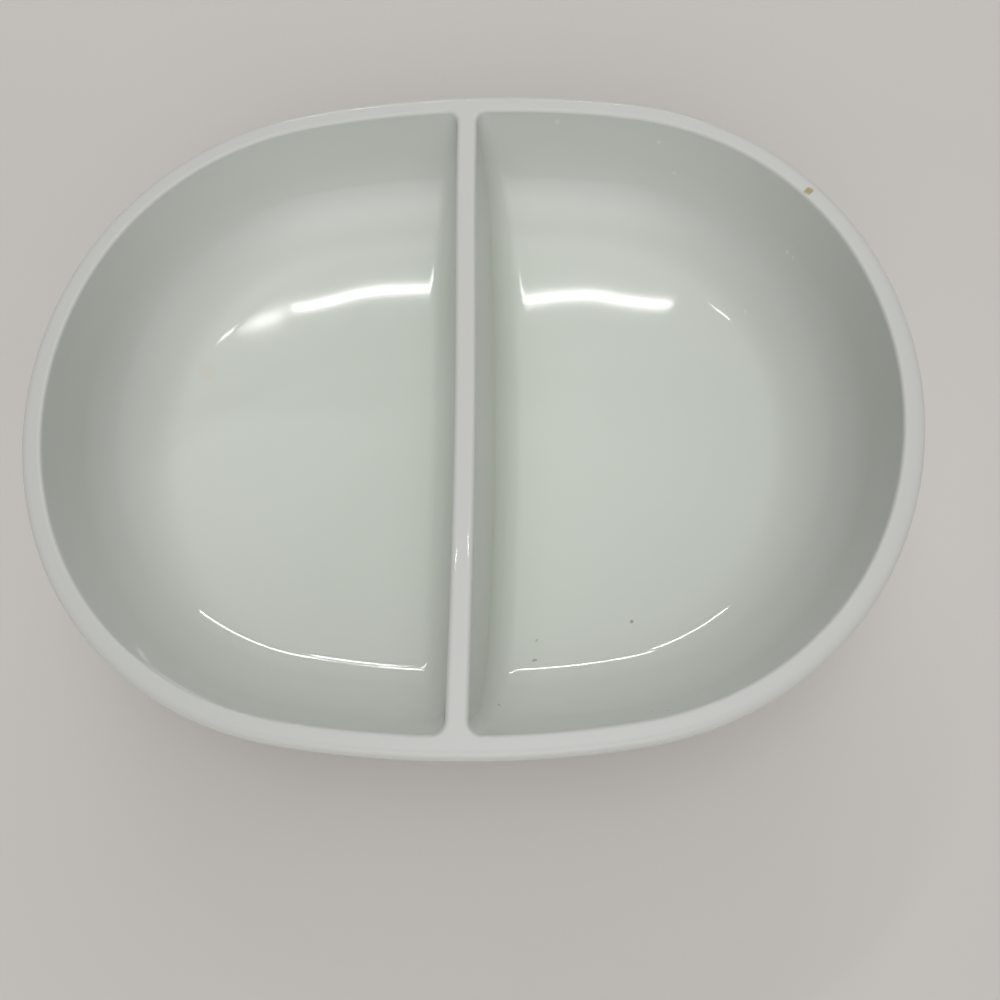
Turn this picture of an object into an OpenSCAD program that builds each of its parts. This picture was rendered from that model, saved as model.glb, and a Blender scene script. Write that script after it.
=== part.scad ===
// Divided serving bowl: one oval, glazed porcelain casting with a cross wall.
// The origin is at the middle of the foot's underside, +X runs along the length
// and +Z points up. A profile point is [inset, height]: the inset is measured
// inward from the outermost line of the rim, square to the oval.

/* [Oval] */
// Length of the bowl over the rim
bowl_l = 270; // [255:1:320]
// Width of the bowl over the rim
bowl_w = 212; // [190:1:224]
// Height from the table to the top of the rim
bowl_h = 57; // [50:1:72]

/* [Rim] */
// Width of the rim, from its outermost line to its inner edge
rim_w = 6.7; // [6:0.1:9]
// Rounding of the rim's outer edge
rim_outer_r = 3; // [1.5:0.1:4]
// Rounding of the rim's inner edge
rim_inner_r = 1.2; // [0.4:0.1:1.5]
// Depth of the thickened lip below the top of the rim
lip_h = 8; // [6:0.5:10]

/* [Wall] */
// Thickness of the curved wall
wall_t = 6.2; // [5:0.1:8]
// Lean of the wall's inner face from upright, in degrees
wall_lean = 15; // [8:1:20]
// Radius of the curve from the wall into the floor, inside
wall_r = 32; // [26:1:36]

/* [Floor] */
// Thickness of the floor
floor_t = 5.5; // [4:0.1:8]
// Radius of the floor's shallow dish
dish_r = 350; // [300:5:420]

/* [Foot] */
// Height of the hollow under the middle of the floor, inside the foot ring
foot_h = 5; // [4.5:0.1:8]
// Width of the foot ring
foot_w = 6; // [4:0.1:9]
// Rounding of the foot ring's lower edges
foot_r = 1.5; // [0.5:0.1:1.8]

/* [Divider] */
// Width of the cross wall's top
divider_w = 6.4; // [5:0.1:10]
// Rounding along the edges of the cross wall's top
divider_edge_r = 1.3; // [0.5:0.1:2]
// Draft of each face of the cross wall, in degrees
divider_draft = 5; // [2:0.5:7]
// Fillet along the foot of the cross wall, at the floor
base_fillet_r = 9; // [6:0.5:12]
// Fillet where the cross wall meets the rim and the upper wall
corner_fillet_r = 3.8; // [2:0.1:6]

/* [Hidden] */

// Facets along each arc of the oval, and along each curve of a profile
end_steps = 14;
shoulder_steps = 14;
side_steps = 8;
lip_steps = 5;
edge_steps = 3;
curve_steps = 8;
upper_curve_steps = 4;
dish_steps = 4;
fillet_steps = 5;
span_steps = 2;

// The oval is drawn with eight arcs. These shares of half the width set the
// radii of the end arcs and the shoulder arcs, chosen by hand to suit the bowl.
end_r_share = 1.05;
shoulder_r_share = 0.92;
// Half of the turn of an end arc, in degrees
end_turn = 24;
// The dish's last ring, where its level middle begins, is at this share of the
// shoulder arcs' radius
dish_end_share = 0.98;

half_l = bowl_l / 2;
half_w = bowl_w / 2;
end_r = half_w * end_r_share;
shoulder_r = half_w * shoulder_r_share;
end_c = [half_l - end_r, 0];
shoulder_c = end_c + (end_r - shoulder_r) * [cos(end_turn), sin(end_turn)];
// A side arc touches the middle of the side and the shoulder arc, so its
// radius follows from the two tangencies
to_side = half_w - shoulder_c.y;
side_r = (pow(shoulder_c.x, 2) + pow(to_side, 2) - pow(shoulder_r, 2)) / (2 * (to_side - shoulder_r));
side_c = [0, half_w - side_r];
side_turn = atan2(shoulder_c.y - side_c.y, shoulder_c.x - side_c.x);

// Each arc of the oval is [centre, radius, first angle, last angle, steps]
function mirrored(c) = [-c.x, c.y];
oval_arcs = [
    [end_c, end_r, -end_turn, end_turn, end_steps],
    [shoulder_c, shoulder_r, end_turn, side_turn, shoulder_steps],
    [side_c, side_r, side_turn, 180 - side_turn, side_steps],
    [mirrored(shoulder_c), shoulder_r, 180 - side_turn, 180 - end_turn, shoulder_steps],
    [-end_c, end_r, 180 - end_turn, 180 + end_turn, end_steps],
    [-shoulder_c, shoulder_r, 180 + end_turn, 180 + side_turn, shoulder_steps],
    [-side_c, side_r, 180 + side_turn, 360 - side_turn, side_steps],
    [-mirrored(shoulder_c), shoulder_r, 360 - side_turn, 360 - end_turn, shoulder_steps]
];
// A station is [centre, radius, angle], and stations go once round the oval
stations = [
    for (a = oval_arcs) for (i = [0:a[4] - 1])
        [a[0], a[1], a[2] + (a[3] - a[2]) * i / a[4]]
];
// The ring round the bowl at a profile point
function ring(p) = [
    for (s = stations) let (q = s[0] + (s[1] - p.x) * [cos(s[2]), sin(s[2])]) [q.x, q.y, p.y]
];

// Inside of the bowl: a straight leaning wall, a curve, and a shallow dish that
// is lowest along the middle. The slope where the curve meets the dish follows
// from the three touching each other
floor_z = foot_h + floor_t;
lip_z = bowl_h - lip_h;
steep = 90 - wall_lean;
dish_c = [half_w, floor_z + dish_r];
to_dish = half_w - inner_inset(dish_c.y - wall_r * cos(steep)) - wall_r * sin(steep);
dish_slope = asin(to_dish * cos(wall_lean) / (dish_r - wall_r)) - wall_lean;
curve_c = dish_c - (dish_r - wall_r) * [sin(dish_slope), cos(dish_slope)];
dish_start = half_w - dish_r * sin(dish_slope);
dish_end = shoulder_r * dish_end_share;
dish_end_slope = asin((half_w - dish_end) / dish_r);

// Underneath, the floor is even in thickness from the foot ring inward
foot_end = dish_start + foot_w;
under_r = dish_r + floor_t;
under_slope = asin((half_w - foot_end) / under_r);
under_end_slope = asin((half_w - dish_end) / under_r);

// Outside: a curve about the same centre, and a line that touches both it and
// the rounding of the rim's outer edge
rim_c = [rim_outer_r, bowl_h - rim_outer_r];
outer_curve_r = wall_r + wall_t;
to_curve = curve_c - rim_c;
outer_lean = atan2(to_curve.y, to_curve.x) + acos((outer_curve_r - rim_outer_r) / norm(to_curve));
outer_steep = 90 - outer_lean;
outer_tangent = rim_c - rim_outer_r * [cos(outer_lean), sin(outer_lean)];
outer_end_slope = asin((curve_c.x - dish_start) / outer_curve_r);

// The rim's inner edge is rounded between the flat top and the leaning wall
inner_c = [rim_w - rim_inner_r * tan(steep / 2), bowl_h - rim_inner_r];

// Inset of the straight inner face, and of the straight outer face, at a height
function inner_inset(z) = rim_w + (bowl_h - z) * tan(wall_lean);
function outer_inset(z) = outer_tangent.x + (outer_tangent.y - z) * tan(outer_lean);

// Points on a circle from one angle to another
function arc(c, r, from, to, steps) =
    [for (i = [0:steps]) let (q = from + (to - from) * i / steps) c + r * [cos(q), sin(q)]];

// The same, given by the slope of the surface: level under the circle, and
// upright on its left
function slope_arc(c, r, from, to, steps) =
    [for (i = [0:steps]) let (q = from + (to - from) * i / steps) c - r * [sin(q), cos(q)]];

rim_top = concat(
    slope_arc(rim_c, rim_outer_r, outer_steep, 180, lip_steps),
    arc(inner_c, rim_inner_r, 90, wall_lean, edge_steps)
);
inner_curve = slope_arc(curve_c, wall_r, steep, dish_slope, curve_steps);
outer_curve = slope_arc(curve_c, outer_curve_r, outer_steep, outer_end_slope, curve_steps);
outer_end = outer_curve[curve_steps];
dish = slope_arc(dish_c, dish_r, dish_slope, dish_end_slope, dish_steps);
under = slope_arc(dish_c, under_r, under_slope, under_end_slope, dish_steps);

// Skins rings that all have the same number of points. Rings with no cap close
// into a loop; a stack from the bottom up is closed by a cap at each end.
module skin(rings, cap = []) {
    n = len(rings[0]);
    m = len(rings);
    spans = len(cap) == 0 ? m : m - 1;
    top = (m - 1) * n;
    polyhedron(
        points = [for (r = rings) each r],
        faces = concat(
            [for (k = [0:spans - 1]) let (up = (k + 1) % m * n) for (i = [0:n - 1])
                [k * n + i, up + i, up + (i + 1) % n, k * n + (i + 1) % n]],
            cap,
            [for (f = cap) [for (i = [len(f) - 1:-1:0]) top + f[i]]]
        )
    );
}

function backward(v) = [for (i = [len(v) - 1:-1:0]) v[i]];
function stretch(v, from, to) = [for (i = [from:to]) v[i]];

// Rounded lip with a flat top
module rim() {
    profile = concat(
        [[outer_inset(lip_z), lip_z]],
        rim_top,
        [[inner_inset(lip_z), lip_z]]
    );
    color("whitesmoke") skin([for (p = profile) ring(p)]);
}

// Leaning wall under the lip, with the upper half of the curve
module upper_wall() {
    profile = concat(
        backward(stretch(outer_curve, 0, upper_curve_steps)),
        [[outer_inset(lip_z), lip_z], [inner_inset(lip_z), lip_z]],
        stretch(inner_curve, 0, upper_curve_steps)
    );
    color("white") skin([for (p = profile) ring(p)]);
}

// Lower half of the curve, from the upper wall to the floor
module lower_wall() {
    profile = concat(
        backward(stretch(outer_curve, upper_curve_steps, curve_steps)),
        stretch(inner_curve, upper_curve_steps, curve_steps)
    );
    color("white") skin([for (p = profile) ring(p)]);
}

// Dished floor that closes the bottom of the wall
module floor() {
    profile = concat(backward(under), [outer_end], dish);
    color("ghostwhite") skin([for (p = profile) ring(p)], cap = [[for (i = [0:len(stations) - 1]) i]]);
}

// Ring that the bowl stands on, bare underneath
module foot_ring() {
    profile = concat(
        slope_arc([dish_start + foot_r, foot_r], foot_r, 0, 90, edge_steps),
        [outer_end, under[0]],
        slope_arc([foot_end - foot_r, foot_r], foot_r, -90, 0, edge_steps)
    );
    color("antiquewhite") skin([for (p = profile) ring(p)]);
}

// The bowl's inner face down the middle of its side, from the rim's top to the
// floor, as [inset, height, slope]
descent = concat(
    [for (q = arc(inner_c, rim_inner_r, 90, wall_lean, edge_steps)) [q.x, q.y, steep]],
    [for (i = [0:curve_steps]) concat(inner_curve[i], steep + (dish_slope - steep) * i / curve_steps)],
    [for (i = [1:dish_steps]) concat(dish[i], dish_slope + (dish_end_slope - dish_slope) * i / dish_steps)]
);

// The inner face's plan line across the middle of the bowl, as [x, y] pairs at
// the side arc's own stations, and the y at any x on it
side_step = (180 - 2 * side_turn) / side_steps;
function side_line(inset) = [
    for (i = [0:side_steps / 2]) side_c + (side_r - inset) * [sin(side_step * i), cos(side_step * i)]
];
function side_y(x, inset) = lookup(x, side_line(inset));

// Half the cross wall's thickness at a height: drafted faces that end in a
// rounding at the top
crest_turn = 90 - divider_draft;
crest_c = [divider_w / 2 - divider_edge_r * tan(crest_turn / 2), bowl_h - divider_edge_r];
crest_z = crest_c.y + divider_edge_r * sin(divider_draft);
function half_thickness(z) = z > crest_z
    ? crest_c.x + sqrt(max(0, pow(divider_edge_r, 2) - pow(z - crest_c.y, 2)))
    : divider_w / 2 + (bowl_h - z) * tan(divider_draft);

// The rounding over a point f on the face: the whole of it, what is left of it
// where f is already on it, or a flat row where f is at the very top
function crest(f) =
    let (on_it = f.z > crest_z, at_top = f.z > bowl_h - divider_edge_r / 100)
    let (from = on_it ? asin(min(1, (f.z - crest_c.y) / divider_edge_r)) : divider_draft)
    [for (i = [0:edge_steps])
        let (q = from + (90 - from) * (on_it ? (i + 1) / (edge_steps + 1) : i / edge_steps))
        at_top
            ? [crest_c.x * (1 - (i + 1) / (edge_steps + 2)), f.y, bowl_h]
            : [crest_c.x + divider_edge_r * cos(q), f.y, crest_c.y + divider_edge_r * sin(q)]
    ];

// Half a section of the cross wall at a point of the descent: out along the
// bowl's inner face, up the fillet, over the rounding and in to the middle.
// The fillet stands level at the wall and upright at the floor, and grows on
// the way down.
function half_section(row) =
    let (
        inset = row[0],
        z = row[1],
        flat_share = 1 - row[2] / steep,
        r = corner_fillet_r + (base_fillet_r - corner_fillet_r) * flat_share,
        lift = 90 * flat_share,
        reach = half_thickness(z) + r,
        foot = [for (i = [0:span_steps]) let (x = reach * i / span_steps) [x, side_y(x, inset), z]],
        fillet = [for (i = [1:fillet_steps])
            let (q = 90 * i / fillet_steps, rise = r * (1 - cos(q)), up = z + rise * sin(lift))
            [half_thickness(up) + r * (1 - sin(q)), side_y(reach, inset) - rise * cos(lift), up]],
        top = crest(fillet[fillet_steps - 1])
    )
    concat(foot, fillet, top, [[0, top[0].y, bowl_h]]);

// A whole section, on the far side of the bowl or, with -1, on the near side
function section(row, side) =
    let (half = half_section(row))
    concat(
        [for (q = half) [q.x, q.y * side, q.z]],
        [for (i = [len(half) - 2:-1:1]) [-half[i].x, half[i].y * side, half[i].z]]
    );

// Cross wall, flush with the rim, that parts the two compartments
module divider() {
    rings = concat(
        [for (row = descent) section(row, 1)],
        [for (row = backward(descent)) section(row, -1)]
    );
    color("snow") skin(rings, cap = [[for (i = [0:len(rings[0]) - 1]) i]]);
}

rim();
upper_wall();
lower_wall();
floor();
divider();
foot_ring();
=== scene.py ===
"""Looks of an oval glazed serving bowl with a cross wall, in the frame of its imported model.

Lengths are in metres and angles in radians. +X runs along the bowl, +Y along the cross wall and +Z
up, and the origin is on the table under the middle of the bowl. An inset is measured inward from
the rim's outermost line, square to it, and a heading is the direction of that line's outward
normal.
"""

from math import acos, asin, atan2, cos, hypot, pi, radians, sin, tan

import bpy
import numpy as np
from mathutils import Matrix, Vector


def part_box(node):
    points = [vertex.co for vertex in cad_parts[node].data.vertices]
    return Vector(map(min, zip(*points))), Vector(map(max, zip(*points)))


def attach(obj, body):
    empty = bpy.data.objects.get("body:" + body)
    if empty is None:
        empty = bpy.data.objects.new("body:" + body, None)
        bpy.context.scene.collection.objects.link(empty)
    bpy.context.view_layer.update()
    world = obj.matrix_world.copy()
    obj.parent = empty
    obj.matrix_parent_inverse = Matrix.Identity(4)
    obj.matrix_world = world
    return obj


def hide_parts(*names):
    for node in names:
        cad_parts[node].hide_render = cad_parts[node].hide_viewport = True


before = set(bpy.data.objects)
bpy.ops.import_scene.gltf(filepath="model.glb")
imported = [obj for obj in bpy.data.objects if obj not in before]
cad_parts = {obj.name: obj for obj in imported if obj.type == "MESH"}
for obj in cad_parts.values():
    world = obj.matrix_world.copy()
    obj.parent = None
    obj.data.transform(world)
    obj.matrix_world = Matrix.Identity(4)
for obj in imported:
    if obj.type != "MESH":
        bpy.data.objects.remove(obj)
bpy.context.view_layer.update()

MM = 0.001
TURN = 2 * pi
LEVEL = pi / 2

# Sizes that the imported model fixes
HALF_LENGTH, HALF_WIDTH, RIM_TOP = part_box("rim")[1]
FOOT_INSET = HALF_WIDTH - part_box("foot_ring")[1][1]

# Rim and wall
RIM_WIDTH = 6.7 * MM
RIM_OUTER_R = 3 * MM
RIM_INNER_R = 1.2 * MM
WALL_LEAN = radians(15)
WALL_R = 32 * MM
WALL_THICKNESS = 6.2 * MM

# Floor and foot
FLOOR_TOP = 10.5 * MM
FLOOR_THICKNESS = 5.5 * MM
DISH_R = 350 * MM
FOOT_WIDTH = 6 * MM
FOOT_SEAM = 5 * MM
FOOT_R = 1.5 * MM
FOOT_FILLET_R = 2 * MM
FOOT_INNER_FILLET_R = 1.5 * MM

# Cross wall: its middle bows a little to the right, most of all a little nearer than halfway
DIVIDER_WIDTH = 6.4 * MM
DIVIDER_EDGE_R = 1.3 * MM
DIVIDER_DRAFT = radians(5)
BASE_FILLET_R = 9 * MM
CORNER_FILLET_R = 3.8 * MM
BOW = 1.05 * MM
BOW_MIDDLE_Y = -20 * MM
BOW_REACH = 105 * MM

# The oval's shape: radius of its shoulders, and the headings where ends and sides ease into them
SHOULDER_SHARE = 0.92
SHOULDER_R = SHOULDER_SHARE * HALF_WIDTH
END_TURN = radians(24)
SIDE_TURN = radians(81)
EASE_TURN = radians(5)

# Colours
WHITE = (1, 1, 1, 1)
GLAZE_THIN = (0.69, 0.69, 0.665, 1)
GLAZE_POOLED = (0.65, 0.70, 0.625, 1)
IRON_BROWN = (0.42, 0.3, 0.13, 1)
DUST_GREY = (0.2, 0.19, 0.17, 1)
# White of the painted highlights: small lamp reflections painted into the glaze's colour
PAINTED_HIGHLIGHT_WHITE = (0.93, 0.93, 0.92, 1)
STAIN_CREAM = (0.66, 0.62, 0.5, 1)
BARE_CLAY = (0.66, 0.63, 0.58, 1)
BARE_CLAY_WORN = (0.5, 0.47, 0.42, 1)
TABLE_COLOUR = (0.72, 0.685, 0.65, 1)
TABLE_SHADE = 0.95

# Marks in the glaze as (place, radius, colour, strength), with lengths in millimetres
MARKS = [
    ((107.4, 65.3, 57.0), 1.5, IRON_BROWN, 0.9),
    ((20.8, -75.3, 19.4), 0.8, DUST_GREY, 0.7),
    ((21.4, -69.2, 17.6), 0.6, DUST_GREY, 0.4),
    ((51.6, -62.8, 17.2), 0.8, DUST_GREY, 0.7),
    ((53.5, -92.3, 48.5), 0.6, DUST_GREY, 0.6),
    ((57.5, -92.1, 51.3), 0.5, DUST_GREY, 0.6),
    ((10.2, -90.1, 31.0), 0.6, DUST_GREY, 0.5),
    # The white marks below are painted highlights, small lamp reflections on the far and right walls painted
    # into the glaze's colour
    ((29.5, 96.9, 53.1), 1.1, PAINTED_HIGHLIGHT_WHITE, 0.3),
    ((62.9, 90.3, 50.0), 1.0, PAINTED_HIGHLIGHT_WHITE, 0.3),
    ((68.9, 85.3, 40.2), 0.9, PAINTED_HIGHLIGHT_WHITE, 0.3),
    ((104.9, 56.1, 37.1), 1.0, PAINTED_HIGHLIGHT_WHITE, 0.35),
    ((106.6, 53.7, 37.2), 0.8, PAINTED_HIGHLIGHT_WHITE, 0.3),
    ((93.9, 43.7, 20.0), 0.8, PAINTED_HIGHLIGHT_WHITE, 0.3),
    ((-94.6, 25.9, 17.6), 4.0, STAIN_CREAM, 0.35),
]

# Patterns of noise as (waves per metre, detail, roughness)
CLOUD = (18, 3, 0.5)
RIPPLE = (38, 1, 0.5)
PEEL = (420, 2, 0.5)
FINE = (1500, 2, 0.5)
MARK_EDGE = (600, 2, 0.5)
GLAZE_END_EDGE = (90, 3, 0.5)
GRAIN = (1400, 4, 0.7)
DIRT = (60, 4, 0.5)
TABLE_CLOUD = (6, 3, 0.5)

# Glaze: how far a mark's edge wanders, the heights of its waves, between which heights it pools, how
# much of its tint follows the pooling and the clouds, and its roughness, with what dull places and
# marks add to it
MARK_WANDER = 2 * MM
RIPPLE_HEIGHT = 0.0015 * MM
PEEL_HEIGHT = 0.0006 * MM
POOL_TOP, POOL_BOTTOM = 40 * MM, 10 * MM
POOL_SHARE, CLOUD_SHARE = 0.7, 0.3
GLOSS_ROUGHNESS, DULL_ROUGHNESS, MARK_ROUGHNESS = 0.035, 0.04, 0.3
GLAZE_IOR = 1.5

# Foot: between which heights its glaze ends and how far that line wanders, the height of its grain,
# between which values of the noise dirt sets in, and its roughness, with what the grain adds to it
GLAZE_END_LOW, GLAZE_END_HIGH = 1.3 * MM, 1.9 * MM
GLAZE_END_WANDER = 0.8 * MM
GRAIN_HEIGHT = 0.05 * MM
DIRT_LOW, DIRT_HIGH = 0.45, 0.75
BARE_ROUGHNESS, GLAZED_ROUGHNESS, GRAIN_ROUGHNESS = 0.62, 0.07, 0.1

# Table
TABLE_HALF = 3.0
TABLE_ROUGHNESS = 0.55

# Light: soft glows as (direction, narrowness, strength), the strength of the pale backdrop, and
# lamp tubes as (name, one end, other end, width, brightness, what it faces, half its spread). A tube
# with a narrow spread is seen only in the glaze near what it faces
BACKDROP = 0.5
GLOWS = [
    ((0, -0.77, 0.64), 8, 2.05),
    ((0, 0.77, 0.64), 8, 0.67),
    ((0, 0, 1), 16, 1.82),
    ((0.1, 0.47, 0.88), 16, 0.65),
    ((0.77, 0, 0.64), 8, 0.33),
]
BOWL = (0, 0, RIM_TOP / 2)
WIDE = LEVEL
NARROW = radians(2.6)
TUBES = [
    ("left_tube", (-0.450, 0.472, 2.5), (-0.287, 0.506, 2.5), 0.02, 26, BOWL, WIDE),
    ("left_end", (-0.102, 0.168, 0.6), (-0.118, 0.157, 0.6), 0.003, 26, (-0.075, 0.044, 0.017), NARROW),
    ("right_tube", (0.065, 0.493, 2.5), (-0.114, 0.548, 2.5), 0.02, 26, BOWL, WIDE),
    ("low_tube", (-0.85, 6.0, 3.5), (1.95, 6.0, 3.0), 0.1, 42, BOWL, WIDE),
    ("low_left_tube", (-2.3, 6.0, 4.55), (-0.85, 6.0, 3.9), 0.1, 42, BOWL, WIDE),
]

# Counts of faces
FACE_STEPS = 60
FILLET_STEPS = 10
CURVE_STEPS = 140
TOP_STEPS = 6
BAND_STEPS = 3
EDGE_STEPS = 6
DEPTH_STEPS = 112
RIM_ARC_STEPS = 12
OUTER_LINE_STEPS = 10
OUTER_CURVE_STEPS = 24
FOOT_FILLET_STEPS = 8
SMALL_ARC_STEPS = 6
UNDERSIDE_STEPS = 24
FOOT_RING_STEPS = 288

# Exactness: halvings of a ray, decimals of a metre to which points are joined, and the angle past
# which an edge stays sharp
HALVINGS = 34
JOIN_DECIMALS = 7
SHARP_ANGLE = radians(50)


def ease(low, high, value):
    """0 below low and 1 above high, with the smooth step 3 t^2 - 2 t^3 between them."""
    t = np.clip((value - low) / (high - low), 0, 1)
    return t * t * (3 - 2 * t)


class Oval:
    """The rim's outermost line, given by its radius of curvature at each heading.

    The radius is constant over the ends, the shoulders and the sides, and eases from one to the
    next. A point is the running sum of radius times (-sin, cos) over the headings, and the line
    inset by d is that point less d times (cos, sin). The radii of the ends and the sides are the
    two unknowns that make the quarter reach the half length and the half width.
    """

    # Headings that give the line, headings of the coarse search and rounds that refine it, the least
    # share of the radius that a slip is divided by, and the finer headings to each even step
    SAMPLES = 7200
    COARSE = 13
    ROUNDS = 5
    LEAST_SHARE = 1 / 20
    FINER = 20

    def __init__(self):
        self.heading = np.linspace(0, TURN, self.SAMPLES + 1)
        from_axis = np.abs((self.heading + LEVEL) % pi - LEVEL)
        past_end = ease(END_TURN - EASE_TURN, END_TURN + EASE_TURN, from_axis)
        on_side = ease(SIDE_TURN - EASE_TURN, SIDE_TURN + EASE_TURN, from_axis)
        shares = [1 - past_end, on_side]
        shoulder = SHOULDER_R * (past_end - on_side)
        across, along = np.sin(self.heading), np.cos(self.heading)
        quarter = self.SAMPLES // 4
        sums = [[self.walk(s * way)[quarter] for s in shares] for way in (across, along)]
        rest = [
            HALF_LENGTH - self.walk(shoulder * across)[quarter],
            HALF_WIDTH - self.walk(shoulder * along)[quarter],
        ]
        end_r, side_r = np.linalg.solve(sums, rest)
        self.radius = end_r * shares[0] + side_r * shares[1] + shoulder
        self.x = HALF_LENGTH - self.walk(self.radius * across)
        self.y = self.walk(self.radius * along)

    def walk(self, values):
        """Running integral of values over the headings."""
        step = self.heading[1]
        return np.concatenate([[0], np.cumsum(values[1:] + values[:-1])]) * step / 2

    def at(self, heading, inset):
        """The point at a heading, moved in by the inset."""
        a = np.mod(heading, TURN)
        x = np.interp(a, self.heading, self.x) - inset * np.cos(a)
        y = np.interp(a, self.heading, self.y) - inset * np.sin(a)
        return x, y

    def inset(self, x, y):
        """How far points lie inside the line: the least, over the headings, of (p - point) . normal.

        By symmetry the first quarter is enough. A coarse search is refined by Newton's method:
        the slip along the tangent is divided by the radius of curvature of the line there.
        """
        x, y = np.abs(x), np.abs(y)
        coarse = np.linspace(0, LEVEL, self.COARSE)
        gaps = [(px - x) * cos(a) + (py - y) * sin(a) for a, px, py in zip(coarse, *self.at(coarse, 0))]
        a = coarse[np.argmin(gaps, axis=0)]
        for _ in range(self.ROUNDS):
            px, py = self.at(a, 0)
            radius = np.interp(a, self.heading, self.radius)
            gap = (px - x) * np.cos(a) + (py - y) * np.sin(a)
            slip = (py - y) * np.cos(a) - (px - x) * np.sin(a)
            a = np.clip(a - slip / np.maximum(radius - gap, radius * self.LEAST_SHARE), 0, LEVEL)
        px, py = self.at(a, 0)
        return (px - x) * np.cos(a) + (py - y) * np.sin(a)

    def even(self, first, last, steps, inset):
        """Headings from first to last at even steps along the inset line."""
        fine = np.linspace(first, last, self.FINER * steps + 1)
        x, y = self.at(fine, inset)
        length = np.concatenate([[0], np.cumsum(np.hypot(np.diff(x), np.diff(y)))])
        return np.interp(np.linspace(0, length[-1], steps + 1), length, fine)

    def ring(self, headings, inset, height):
        """Points round the bowl at one inset and height, one row of a grid."""
        x, y = self.at(headings, inset)
        return np.stack([x, y, np.full_like(x, height)], axis=-1)


oval = Oval()

# The bowl's inner face in section: a leaning line, the wall's curve, and a dish that is level in
# the middle of the bowl. The slope where the curve meets the dish closes the section
STEEP = LEVEL - WALL_LEAN
DISH_Z = FLOOR_TOP + DISH_R
UNDER_R = DISH_R + FLOOR_THICKNESS


def line_inset(z):
    """Inset of the leaning line at a height."""
    return RIM_WIDTH + (RIM_TOP - z) * tan(WALL_LEAN)


TO_DISH = HALF_WIDTH - line_inset(DISH_Z - WALL_R * cos(STEEP)) - WALL_R * sin(STEEP)
DISH_SLOPE = asin(TO_DISH * cos(WALL_LEAN) / (DISH_R - WALL_R)) - WALL_LEAN
CURVE_Z = DISH_Z - (DISH_R - WALL_R) * cos(DISH_SLOPE)
CURVE_INSET = HALF_WIDTH - (DISH_R - WALL_R) * sin(DISH_SLOPE)


def bowl_gap(inset, z):
    """Distance from the bowl's inner face, more than zero inside the hollow.

    The slope of the face that a point looks down on, seen from the middle of the dish or of the
    curve, tells which stretch is nearest: its radius less the distance from its middle, or the
    distance square to the leaning line.
    """
    dish_x, dish_z = HALF_WIDTH - inset, DISH_Z - z
    curve_x, curve_z = CURVE_INSET - inset, CURVE_Z - z
    line = (inset - line_inset(z)) * cos(WALL_LEAN)
    curve = np.where(np.arctan2(curve_x, curve_z) > STEEP, line, WALL_R - np.hypot(curve_x, curve_z))
    dish = DISH_R - np.hypot(dish_x, dish_z)
    return np.where(np.arctan2(dish_x, dish_z) > DISH_SLOPE, curve, dish)


def bow(y):
    """How far the cross wall's middle plane is to the right: a bump (1 - t^2)^2."""
    t = np.clip((y - BOW_MIDDLE_Y) / BOW_REACH, -1, 1)
    return BOW * (1 - t * t) ** 2


def divider_gap(side, x, y, z):
    """Distance from the cross wall's drafted face on one side."""
    out = side * (x - bow(y)) - DIVIDER_WIDTH / 2 - (RIM_TOP - z) * tan(DIVIDER_DRAFT)
    return out * cos(DIVIDER_DRAFT)


def hollow(side, x, y, z):
    """Distance into a compartment from its faces, where the two faces blend in a fillet.

    With a and b the distances from the bowl's face and the cross wall's face, and r the fillet's
    radius, this is r less the length of (r - a, r - b), each cut off at zero. The radius grows from
    the rim to the floor.
    """
    depth = np.clip((RIM_TOP - z) / (RIM_TOP - FLOOR_TOP), 0, 1)
    r = CORNER_FILLET_R + (BASE_FILLET_R - CORNER_FILLET_R) * depth
    a = bowl_gap(oval.inset(x, y), z)
    b = divider_gap(side, x, y, z)
    return r - np.hypot(np.maximum(r - a, 0), np.maximum(r - b, 0))


def cast(side, eye, way):
    """Where rays from inside a compartment meet its faces, by halving the stretch they lie in."""
    near = np.zeros(np.broadcast(*eye, *way).shape)
    far = np.full_like(near, 2 * HALF_LENGTH)
    for _ in range(HALVINGS):
        middle = (near + far) / 2
        inside = hollow(side, *(e + middle * w for e, w in zip(eye, way))) > 0
        near = np.where(inside, middle, near)
        far = np.where(inside, far, middle)
    return np.stack([e + near * w for e, w in zip(eye, way)], axis=-1)


def face_normal(side, points):
    """Unit normal of a compartment's face, from differences of its distance over a small step."""
    step = 0.01 * MM
    steps = step * np.eye(3)
    slope = [
        hollow(side, *np.moveaxis(points + s, -1, 0)) - hollow(side, *np.moveaxis(points - s, -1, 0))
        for s in steps
    ]
    slope = np.stack(slope, axis=-1)
    return slope / np.linalg.norm(slope, axis=-1, keepdims=True)


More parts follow.
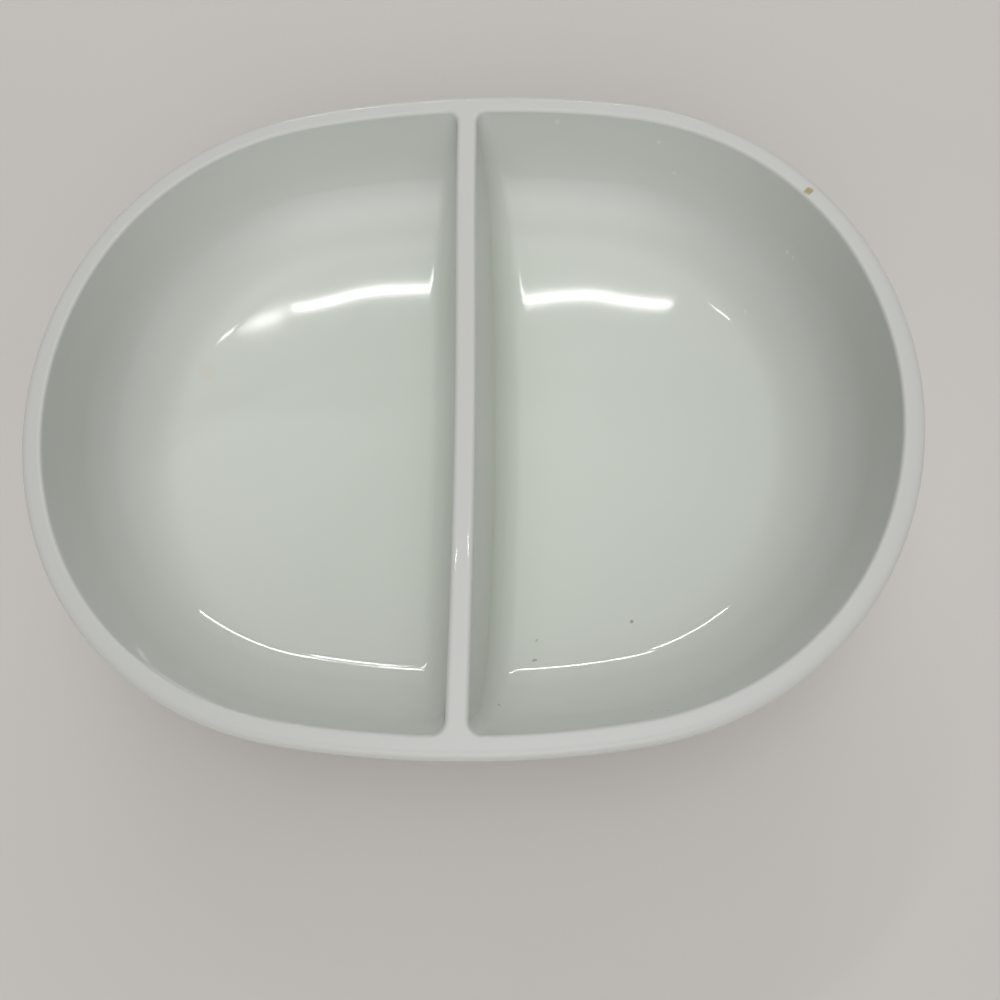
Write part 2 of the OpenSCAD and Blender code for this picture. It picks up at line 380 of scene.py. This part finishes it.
class Compartment:
    """The faces of one compartment, as a grid whose columns go round it and whose rows go down.

    The columns lie in upright planes through an axis in the compartment. The first rows turn over
    the rounded top edge, and the others follow rays that swing down from level to straight down.
    side is 1 for the compartment on the right and -1 for the one on the left.
    """

    # Place of the axis, rounds that settle the height where the top edge starts, and where and how
    # finely the middle of a fillet is looked for
    AXIS_X = 58 * MM
    ROUNDS = 4
    FILLET_END = pi / 3
    FILLET_SAMPLES = 400

    def __init__(self, side):
        self.side = side
        way, self.headings = self.plan()
        axis = side * self.AXIS_X
        way[:, 0] *= side
        way = way - [axis, 0]
        way /= np.linalg.norm(way, axis=-1, keepdims=True)
        level = np.full(len(way), RIM_TOP - RIM_INNER_R)
        for _ in range(self.ROUNDS):
            start = cast(side, (axis, 0, level), (*way.T, 0))
            normal = face_normal(side, start)
            to_divider = np.maximum(side * normal[:, 0], 0)
            edge_r = RIM_INNER_R + (DIVIDER_EDGE_R - RIM_INNER_R) * to_divider
            level = RIM_TOP - edge_r * (1 - normal[:, 2])
        edge = self.rounded_edge(start, normal, edge_r)
        first = np.arctan2(RIM_TOP - start[:, 2], np.hypot(start[:, 0] - axis, start[:, 1]))
        share = np.linspace(0, 1, DEPTH_STEPS + 1)[1:, None]
        down = first + (LEVEL - first) * share
        ray = (way[:, 0] * np.cos(down), way[:, 1] * np.cos(down), -np.sin(down))
        deep = cast(side, (axis, 0, RIM_TOP), ray)
        deep[-1] = [axis, 0, deep[-1, 0, 2]]
        self.grid = np.concatenate([edge, deep])

    def plan(self):
        """Points round the top, in plan, that the columns pass, and the curved side's headings.

        They go up the cross wall's face, round the far fillet, round the bowl's side and back
        round the near fillet. Both fillets have their middle at their radius from both faces. A
        point's u is its x times the side, and its v is its y.
        """
        middles = [self.fillet_middle(end) for end in (-1, 1)]
        (near_u, near_v, near_turn), (far_u, far_v, far_turn) = middles
        face_v = np.linspace(-near_v, far_v, FACE_STEPS + 1)[:-1]
        face_u = DIVIDER_WIDTH / 2 + self.side * bow(face_v)
        arc = np.linspace(0, 1, FILLET_STEPS + 1)[:-1]
        far_arc = pi + (far_turn - pi) * arc
        near_arc = -near_turn + (near_turn - pi) * arc
        headings = oval.even(far_turn, -near_turn, CURVE_STEPS, RIM_WIDTH)
        curve_u, curve_v = oval.at(headings[:-1], RIM_WIDTH)
        r = CORNER_FILLET_R
        u = [face_u, far_u + r * np.cos(far_arc), curve_u, near_u + r * np.cos(near_arc)]
        v = [face_v, far_v + r * np.sin(far_arc), curve_v, -near_v + r * np.sin(near_arc)]
        return np.stack([np.concatenate(u), np.concatenate(v)], axis=-1), headings

    def fillet_middle(self, end):
        """Middle of the fillet at one end of the cross wall, and the heading where it ends."""
        headings = np.linspace(LEVEL, self.FILLET_END, self.FILLET_SAMPLES)
        x, y = oval.at(headings, RIM_WIDTH + CORNER_FILLET_R)
        u = DIVIDER_WIDTH / 2 + self.side * bow(end * HALF_WIDTH) + CORNER_FILLET_R
        return u, np.interp(u, x, y), np.interp(u, x, headings)

    def rounded_edge(self, start, normal, edge_r):
        """Rows over the top edge: an arc from straight up down to the face's own normal."""
        middle = start - edge_r[:, None] * normal
        plan = normal[:, :2] / np.linalg.norm(normal[:, :2], axis=-1, keepdims=True)
        lean = np.arcsin(normal[:, 2])
        share = np.linspace(0, 1, EDGE_STEPS + 1)[:, None]
        turn = LEVEL + (lean - LEVEL) * share
        across = np.cos(turn)[..., None] * plan
        arc = np.concatenate([across, np.sin(turn)[..., None]], axis=-1)
        edge = middle + edge_r[:, None] * arc
        edge[0, :, 2] = RIM_TOP
        return edge

    def top(self, first, last):
        """The top outline's points from one column to another."""
        columns = np.arange(first, last + 1) % self.grid.shape[1]
        return self.grid[0, columns]

    def face_top(self):
        return self.top(0, FACE_STEPS)

    def curve_top(self):
        first = FACE_STEPS + FILLET_STEPS
        return self.top(first, first + CURVE_STEPS)

    def far_fillet_top(self):
        return self.top(FACE_STEPS, FACE_STEPS + FILLET_STEPS)

    def near_fillet_top(self):
        """From the cross wall's face round to the bowl's side."""
        first = FACE_STEPS + FILLET_STEPS + CURVE_STEPS
        return self.top(first, first + FILLET_STEPS)[::-1]


def blend(first, last, steps):
    """Rows of points from one row to another, in even steps."""
    share = np.linspace(0, 1, steps + 1)[:, None, None]
    return first + (last - first) * share


def slope_arc(middle_inset, middle_z, r, first, last, steps):
    """Profile points on a circle: its middle less r times (sin, cos) of the surface's slope."""
    slope = np.linspace(first, last, steps + 1)
    return np.stack([middle_inset - r * np.sin(slope), middle_z - r * np.cos(slope)], axis=-1)


def outer_profile():
    """The outer skin in section, from the rim's level top down to the foot.

    The wall's outer curve has the inner curve's middle. A line touches it and the rounding of the
    rim's outer edge, and a small fillet turns it into the foot's upright side. Inside the foot,
    another fillet leads to the underside.
    """
    rim_z = RIM_TOP - RIM_OUTER_R
    to_x, to_z = CURVE_INSET - RIM_OUTER_R, CURVE_Z - rim_z
    outer_r = WALL_R + WALL_THICKNESS
    lean = atan2(to_z, to_x) + acos((outer_r - RIM_OUTER_R) / hypot(to_x, to_z))
    steep = LEVEL - lean
    fillet_inset = FOOT_INSET - FOOT_FILLET_R
    fillet_x = CURVE_INSET - fillet_inset
    fillet_slope = asin(fillet_x / (outer_r + FOOT_FILLET_R))
    fillet_z = CURVE_Z - (outer_r + FOOT_FILLET_R) * cos(fillet_slope)
    rounding = slope_arc(RIM_OUTER_R, rim_z, RIM_OUTER_R, pi, steep, RIM_ARC_STEPS)
    curve = slope_arc(CURVE_INSET, CURVE_Z, outer_r, steep, fillet_slope, OUTER_CURVE_STEPS)
    line = blend(rounding[-1:], curve[:1], OUTER_LINE_STEPS)[1:-1, 0]
    turned = fillet_slope + pi
    fillet = slope_arc(fillet_inset, fillet_z, FOOT_FILLET_R, turned, LEVEL + pi, FOOT_FILLET_STEPS)
    inner = FOOT_INSET + FOOT_WIDTH
    flare_inset = inner + FOOT_INNER_FILLET_R
    flare_slope = asin((HALF_WIDTH - flare_inset) / (UNDER_R + FOOT_INNER_FILLET_R))
    flare_z = DISH_Z - (UNDER_R + FOOT_INNER_FILLET_R) * cos(flare_slope)
    flare = slope_arc(flare_inset, flare_z, -FOOT_INNER_FILLET_R, -LEVEL, flare_slope, SMALL_ARC_STEPS)
    seam = [[FOOT_INSET, FOOT_SEAM], [inner, FOOT_SEAM]]
    return np.concatenate([rounding, line, curve, fillet[1:], seam, flare])


def underside(start):
    """The floor's underside from a ring inside the foot to the middle, of even thickness."""
    plan = start * np.linspace(1, 0, UNDERSIDE_STEPS + 1)[1:, None, None]
    out = HALF_WIDTH - oval.inset(plan[..., 0], plan[..., 1])
    plan[..., 2] = DISH_Z - np.sqrt(UNDER_R ** 2 - out ** 2)
    return plan


def junction(left, right, rim):
    """The level patch where the cross wall's top runs into the rim.

    Its rows are straight from the left edge to the right edge, and lean more and more to the rim's
    own curve towards the last one.
    """
    rows = np.swapaxes(blend(left, right, TOP_STEPS), 0, 1)
    share = np.linspace(0, 1, len(rows))[:, None, None] ** 2
    return rows + share * (rim - rows[-1])


def grid_faces(rows, columns, closed):
    """Corner numbers of a grid's four-sided faces: their normal is row direction x column direction."""
    i, j = np.meshgrid(np.arange(rows - 1), np.arange(columns if closed else columns - 1), indexing="ij")
    here, after = i * columns + j, i * columns + (j + 1) % columns
    return np.stack([here, here + columns, after + columns, after], axis=-1).reshape(-1, 4)


def build_mesh(name, patches):
    """One smooth mesh from grids of points: (points, is it closed into a ring, is it turned over).

    Points that lie together are joined, and a face that loses a corner at a pole is a triangle.
    """
    points, faces, count = [], [], 0
    for grid, closed, turned in patches:
        corners = grid_faces(*grid.shape[:2], closed) + count
        faces.append(corners[:, ::-1] if turned else corners)
        points.append(grid.reshape(-1, 3))
        count += len(points[-1])
    points, faces = np.concatenate(points), np.concatenate(faces)
    rounded = np.round(points, JOIN_DECIMALS)
    _, kept, joined = np.unique(rounded, axis=0, return_index=True, return_inverse=True)
    faces = joined.reshape(-1)[faces]
    same = faces == np.roll(faces, -1, axis=1)
    keep = ~same
    sides = keep.sum(axis=1)
    whole = sides >= 3
    loops = faces[whole][keep[whole]]
    starts = np.concatenate([[0], np.cumsum(sides[whole])[:-1]])
    mesh = bpy.data.meshes.new(name)
    mesh.vertices.add(len(kept))
    mesh.vertices.foreach_set("co", points[kept].astype(np.float32).ravel())
    mesh.loops.add(len(loops))
    mesh.loops.foreach_set("vertex_index", loops.astype(np.int32))
    mesh.polygons.add(len(starts))
    mesh.polygons.foreach_set("loop_start", starts.astype(np.int32))
    mesh.update(calc_edges=True)
    mesh.validate()
    mesh.shade_smooth()
    mesh.set_sharp_from_angle(angle=SHARP_ANGLE)
    piece = bpy.data.objects.new(name, mesh)
    bpy.context.scene.collection.objects.link(piece)
    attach(piece, "root")
    return piece


def bowl_casting():
    """The whole glazed surface, as one skin: both compartments, the level top and the outside."""
    left, right = Compartment(-1), Compartment(1)
    left_curve = pi - left.headings
    far = np.linspace(right.headings[0], left_curve[0], TOP_STEPS + 1)
    near = np.linspace(left_curve[-1], TURN + right.headings[-1], TOP_STEPS + 1)
    headings = np.concatenate([right.headings[::-1], far[1:], left_curve[1:], near[1:-1]])
    profile = outer_profile()
    outside = np.stack([oval.ring(headings, inset, z) for inset, z in profile])
    below = underside(outside[-1])

    def band(compartment, curve):
        return blend(oval.ring(curve, RIM_OUTER_R, RIM_TOP), compartment.curve_top(), BAND_STEPS)

    right_band, left_band = band(right, right.headings), band(left, left_curve)
    strip = np.swapaxes(blend(left.face_top(), right.face_top(), TOP_STEPS), 0, 1)
    far_rim = oval.ring(far[::-1], RIM_OUTER_R, RIM_TOP)
    near_rim = oval.ring(near, RIM_OUTER_R, RIM_TOP)
    far_patch = junction(
        np.concatenate([left.far_fillet_top(), left_band[::-1, 0][1:]]),
        np.concatenate([right.far_fillet_top(), right_band[::-1, 0][1:]]),
        far_rim,
    )
    near_patch = junction(
        np.concatenate([left.near_fillet_top(), left_band[::-1, -1][1:]]),
        np.concatenate([right.near_fillet_top(), right_band[::-1, -1][1:]]),
        near_rim,
    )
    return build_mesh("bowl_casting", [
        (right.grid, True, False),
        (left.grid, True, True),
        (right_band, False, False),
        (left_band, False, True),
        (strip, False, True),
        (far_patch, False, True),
        (near_patch, False, False),
        (np.concatenate([outside, below]), True, False),
    ])


def foot_ring():
    """The lower part of the ring that the bowl stands on: upright sides, rounded below."""
    inner = FOOT_INSET + FOOT_WIDTH
    profile = np.concatenate([
        [[FOOT_INSET, FOOT_SEAM], [FOOT_INSET, (FOOT_SEAM + FOOT_R) / 2]],
        slope_arc(FOOT_INSET + FOOT_R, FOOT_R, FOOT_R, LEVEL, 0, SMALL_ARC_STEPS),
        slope_arc(inner - FOOT_R, FOOT_R, FOOT_R, 0, -LEVEL, SMALL_ARC_STEPS),
        [[inner, FOOT_SEAM]],
    ])
    headings = np.linspace(0, TURN, FOOT_RING_STEPS + 1)[:-1]
    rings = np.stack([oval.ring(headings, inset, z) for inset, z in profile])
    return build_mesh("foot_ring_bare", [(np.concatenate([rings, rings[:1]]), True, False)])


class Signal:
    """A socket of a material, so that sums and products of sockets read as plain arithmetic."""

    def __init__(self, finish, socket):
        self.finish = finish
        self.socket = socket

    def math(self, operation, *others):
        return self.finish.node("ShaderNodeMath", {"operation": operation}, dict(enumerate((self, *others))))

    def __add__(self, other):
        return self.math("ADD", other)

    __radd__ = __add__

    def __sub__(self, other):
        return self.math("SUBTRACT", other)

    def __rsub__(self, other):
        return self * -1 + other

    def __mul__(self, other):
        return self.math("MULTIPLY", other)

    __rmul__ = __mul__

    def step(self, low, high):
        """0 below low and 1 above high, with a smooth step between, and the other way if low > high."""
        sockets = {"Value": self, "From Min": low, "From Max": high}
        return self.finish.node("ShaderNodeMapRange", {"interpolation_type": "SMOOTHSTEP"}, sockets)


class Finish:
    """A node tree, with one method that adds any node."""

    def __init__(self, owner):
        owner.use_nodes = True
        self.tree = owner.node_tree
        self.tree.nodes.clear()

    def node(self, kind, settings=None, sockets=None, out=0):
        """Adds a node, sets its settings and then its sockets, and gives one of its outputs."""
        new = self.tree.nodes.new(kind)
        for name, value in (settings or {}).items():
            setattr(new, name, value)
        for name, value in (sockets or {}).items():
            if isinstance(value, Signal):
                self.tree.links.new(value.socket, new.inputs[name])
            else:
                new.inputs[name].default_value = value
        return Signal(self, new.outputs[out]) if new.outputs else new

    def mix(self, factor, first, second):
        """A colour between two, by the factor: 6, 7 and 2 are the sockets for colours."""
        return self.node("ShaderNodeMix", {"data_type": "RGBA"}, {0: factor, 6: first, 7: second}, out=2)

    def noise(self, where, pattern, out=0):
        """Noise of a pattern: one value from 0 to 1, or three of them from its output Color."""
        scale, detail, roughness = pattern
        sockets = {"Vector": where, "Scale": scale, "Detail": detail, "Roughness": roughness}
        return self.node("ShaderNodeTexNoise", None, sockets, out)

    def vector(self, operation, *values, out=0):
        return self.node("ShaderNodeVectorMath", {"operation": operation}, dict(enumerate(values)), out)

    def spot(self, where, middle, r):
        """1 inside a round spot and 0 outside it, with a soft edge."""
        return self.vector("DISTANCE", where, middle, out="Value").step(r, r / 2)

    def glow(self, way, middle, narrow):
        """A soft round glow about a direction: the cosine of the angle from it, to a power."""
        along = self.vector("DOT_PRODUCT", way, Vector(middle).normalized(), out="Value")
        return along.math("MAXIMUM", 0).math("POWER", narrow)

    def bump(self, height):
        """The normal of a surface that is raised by a height in metres."""
        return self.node("ShaderNodeBump", None, {"Strength": 1, "Distance": 1, "Height": height})

    def surface(self, sockets):
        """Ends a material's tree with one surface shader."""
        shader = self.node("ShaderNodeBsdfPrincipled", None, sockets)
        self.node("ShaderNodeOutputMaterial", None, {"Surface": shader})


def new_material(name):
    material = bpy.data.materials.new(name)
    return material, Finish(material)


def porcelain_glaze():
    """White porcelain under a clear gloss glaze.

    The glaze is a touch thicker and greener where it pools, low in the bowl. Its gloss has the
    faint ripple of a fired glaze, and there are a few specks, a few white painted highlights that
    stand in for small lamp reflections, and one iron spot on the rim.
    """
    material, f = new_material("porcelain_glaze")
    where = f.node("ShaderNodeTexCoord", out="Object")
    height = f.node("ShaderNodeSeparateXYZ", None, {"Vector": where}, out="Z")
    pooled = height.step(POOL_TOP, POOL_BOTTOM)
    cloud = f.noise(where, CLOUD)
    tint = (pooled * POOL_SHARE + cloud * CLOUD_SHARE).math("MINIMUM", 1)
    body = f.mix(tint, GLAZE_THIN, GLAZE_POOLED)
    wander = f.noise(where, MARK_EDGE, out="Color")
    edge = f.vector("MULTIPLY_ADD", wander, (MARK_WANDER,) * 3, where)
    marked = 0
    for place, r, colour, strength in MARKS:
        middle = [c * MM + MARK_WANDER / 2 for c in place]
        spot = f.spot(edge, middle, r * MM) * strength
        body = f.mix(spot, body, colour)
        marked = spot + marked
    ripple = f.noise(where, RIPPLE)
    peel = f.noise(where, PEEL)
    fine = f.noise(where, FINE)
    f.surface({
        "Base Color": body,
        "Roughness": GLOSS_ROUGHNESS + DULL_ROUGHNESS * fine * cloud + MARK_ROUGHNESS * marked,
        "IOR": GLAZE_IOR,
        "Normal": f.bump(ripple * RIPPLE_HEIGHT + peel * PEEL_HEIGHT),
    })
    return material


def bare_foot():
    """Bare fired porcelain where the glaze is wiped off, glazed again up the ring's sides."""
    material, f = new_material("bare_porcelain")
    where = f.node("ShaderNodeTexCoord", out="Object")
    height = f.node("ShaderNodeSeparateXYZ", None, {"Vector": where}, out="Z")
    edge = f.noise(where, GLAZE_END_EDGE)
    glazed = (height + (edge - 0.5) * GLAZE_END_WANDER).step(GLAZE_END_LOW, GLAZE_END_HIGH)
    grain = f.noise(where, GRAIN)
    dirt = f.noise(where, DIRT)
    bare = f.mix(dirt.step(DIRT_LOW, DIRT_HIGH), BARE_CLAY, BARE_CLAY_WORN)
    colour = f.mix(glazed, bare, GLAZE_THIN)
    f.surface({
        "Base Color": colour,
        "Roughness": BARE_ROUGHNESS + (GLAZED_ROUGHNESS - BARE_ROUGHNESS) * glazed + GRAIN_ROUGHNESS * grain,
        "IOR": GLAZE_IOR,
        "Normal": f.bump(grain * (1 - glazed) * GRAIN_HEIGHT),
    })
    return material


def table_finish():
    """Plain pale matt table."""
    material, f = new_material("pale_table")
    where = f.node("ShaderNodeTexCoord", out="Object")
    cloud = f.noise(where, TABLE_CLOUD)
    darker = tuple(TABLE_SHADE * c for c in TABLE_COLOUR[:3]) + (1,)
    f.surface({"Base Color": f.mix(cloud, TABLE_COLOUR, darker), "Roughness": TABLE_ROUGHNESS})
    return material


def table():
    """The pale surface under the bowl, which isn't part of it."""
    corners = [(x * TABLE_HALF, y * TABLE_HALF, 0) for x, y in ((-1, -1), (1, -1), (1, 1), (-1, 1))]
    mesh = bpy.data.meshes.new("table")
    mesh.from_pydata(corners, [], [(0, 1, 2, 3)])
    top = bpy.data.objects.new("table", mesh)
    bpy.context.scene.collection.objects.link(top)
    mesh.materials.append(table_finish())


def camera():
    """The photograph's view: a wide lens close above the bowl, leaning a little.

    The place and the three turns were fitted to the photograph's outline of the rim. The place is
    given from the middle of the rim's top, and the lens in pixels of the photograph.
    """
    lens_px, frame_px = 900, 1000
    tilt, swing, roll = -0.27953, 0.05511, 0.00588
    from_rim = Vector((25.73, -104.97, 247.77)) * MM
    place = from_rim + Vector((0, 0, RIM_TOP))
    turns = Matrix.Rotation(tilt, 3, "X") @ Matrix.Rotation(swing, 3, "Y") @ Matrix.Rotation(roll, 3, "Z")
    looks_down = Matrix.Diagonal((1, -1, -1))
    right, down, forward = turns @ looks_down
    data = bpy.data.cameras.new("camera")
    data.sensor_width = 36
    data.lens = data.sensor_width * lens_px / frame_px
    data.clip_start = 10 * MM
    eye = bpy.data.objects.new("camera", data)
    eye.matrix_world = Matrix.Translation(place) @ Matrix((right, -down, -forward)).transposed().to_4x4()
    bpy.context.scene.collection.objects.link(eye)
    bpy.context.scene.camera = eye


def tube(name, first, last, width, brightness, aim, half_spread):
    """A thin rectangular lamp between two ends, facing a place.

    Its power is brightness times pi times its area, and a narrow spread of half angle h takes the
    share 1 - h / tan(h) of it, because a narrow lamp is brighter on its axis.
    """
    first, last, aim = Vector(first), Vector(last), Vector(aim)
    middle = (first + last) / 2
    out = (middle - aim).normalized()
    across = out.cross(last - first).normalized()
    along = across.cross(out)
    data = bpy.data.lights.new(name, "AREA")
    data.shape = "RECTANGLE"
    data.size, data.size_y = (last - first).length, width
    data.spread = 2 * half_spread
    data.energy = brightness * pi * data.size * width * (1 - half_spread / tan(half_spread))
    light = bpy.data.objects.new(name, data)
    light.matrix_world = Matrix.Translation(middle) @ Matrix((along, across, out)).transposed().to_4x4()
    light.visible_camera = False
    bpy.context.scene.collection.objects.link(light)


def studio():
    """Smooth glows from five directions, a pale backdrop and five lamp tubes.

    The glows light the bowl. A ray from the camera sees the plain backdrop alone, and one off a gloss
    or through a clear thing sees it behind the glows.
    """
    world = bpy.data.worlds.new("studio")
    bpy.context.scene.world = world
    f = Finish(world)
    way = f.node("ShaderNodeTexCoord", out="Generated")
    glows = sum(strength * f.glow(way, middle, narrow) for middle, narrow, strength in GLOWS)
    camera_ray = f.node("ShaderNodeLightPath", out="Is Camera Ray")
    glossy_ray = f.node("ShaderNodeLightPath", out="Is Glossy Ray")
    clear_ray = f.node("ShaderNodeLightPath", out="Is Transmission Ray")
    strength = glows * (1 - camera_ray) + (camera_ray + glossy_ray + clear_ray) * BACKDROP
    background = f.node("ShaderNodeBackground", None, {"Color": WHITE, "Strength": strength})
    f.node("ShaderNodeOutputWorld", None, {"Surface": background})
    for lamp in TUBES:
        tube(*lamp)


casting = bowl_casting()
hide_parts("rim", "upper_wall", "lower_wall", "floor", "divider")
casting.data.materials.append(porcelain_glaze())

foot = foot_ring()
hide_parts("foot_ring")
foot.data.materials.append(bare_foot())

table()
camera()
studio()
bpy.context.scene.view_settings.view_transform = "Standard"
